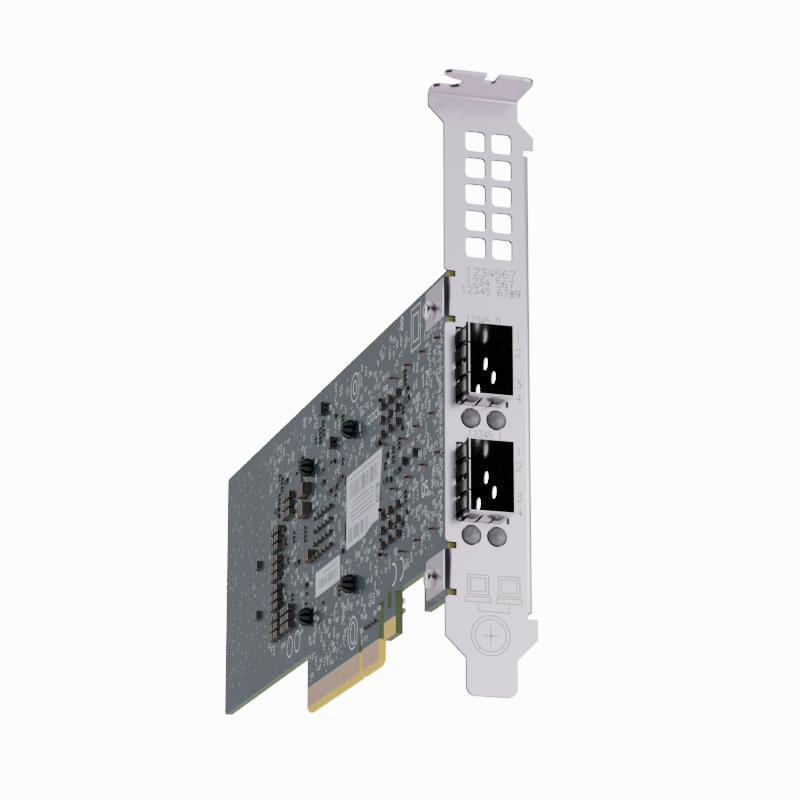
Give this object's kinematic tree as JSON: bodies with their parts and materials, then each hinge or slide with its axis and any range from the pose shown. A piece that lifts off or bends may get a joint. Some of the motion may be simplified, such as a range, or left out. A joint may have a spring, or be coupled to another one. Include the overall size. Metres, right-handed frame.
{
  "type": "network interface card",
  "caption": "Low-height network card on a full-height slot bracket, with pluggable-module bays, light pipes, an edge connector and a finned heat sink.",
  "frame": {"origin": "card-edge connector: middle of the key notch, middle of the board's thickness, lowest edge of the tongue", "axes": "+Z along the bracket, away from the edge connector; +Y from the bracket's outer face into the machine; +X to the side of the board that carries the parts"},
  "size_m": [0.0216, 0.179, 0.12],
  "materials": {
    "black_plastic": "moulded, fine grain",
    "board": "solder-masked glass-fibre laminate",
    "bright_steel": "plated steel, bright",
    "ceramic_cap": "fired ceramic with tinned ends",
    "chip": "moulded epoxy",
    "chip_lid": "nickel-plated lid",
    "crystal_can": "plated can",
    "dark_nylon": "moulded nylon",
    "ferrite": "pressed powder",
    "fins": "extruded, satin",
    "gold": "gold plating, satin",
    "label": "printed, bare",
    "lamp": "moulded lens",
    "light_guide": "clear moulding, polished",
    "nickel": "nickel-plated sheet steel, satin",
    "tantalum": "moulded case",
    "thermal": "soft pad"
  },
  "bodies": {
    "root": {"board_nuts": "bright_steel", "bracket": "nickel", "bracket_screws": "bright_steel", "bulk_capacitors": "tantalum", "bypass_capacitors": "tantalum", "circuit_board": "board", "clamp_diodes": "chip", "controller_chip": "chip_lid", "core_capacitors": "ceramic_cap", "crystal": "crystal_can", "edge_capacitors": "ceramic_cap", "edge_contacts": "gold", "filter_beads": "ferrite", "flash_memory": "chip", "heat_sink": "fins", "hook_capacitor": "ceramic_cap", "host_connector_0": "black_plastic", "host_connector_1": "black_plastic", "host_contacts": "gold", "host_side_chips": "chip", "input_capacitors": "ceramic_cap", "light_pipe_0": "light_guide", "light_pipe_1": "light_guide", "management_chip": "chip", "number_label": "label", "output_capacitors": "ceramic_cap", "port_cage_0": "bright_steel", "port_cage_1": "bright_steel", "port_capacitors": "ceramic_cap", "power_inductors": "ferrite", "power_regulators": "chip", "product_label": "label", "push_pins": "dark_nylon", "signal_filter": "chip", "solder_side_chips": "chip", "spring_collar_0": "bright_steel", "spring_collar_1": "bright_steel", "status_lamps": "lamp", "tantalum_capacitors": "tantalum", "thermal_pad": "thermal"}
  },
  "joints": []
}
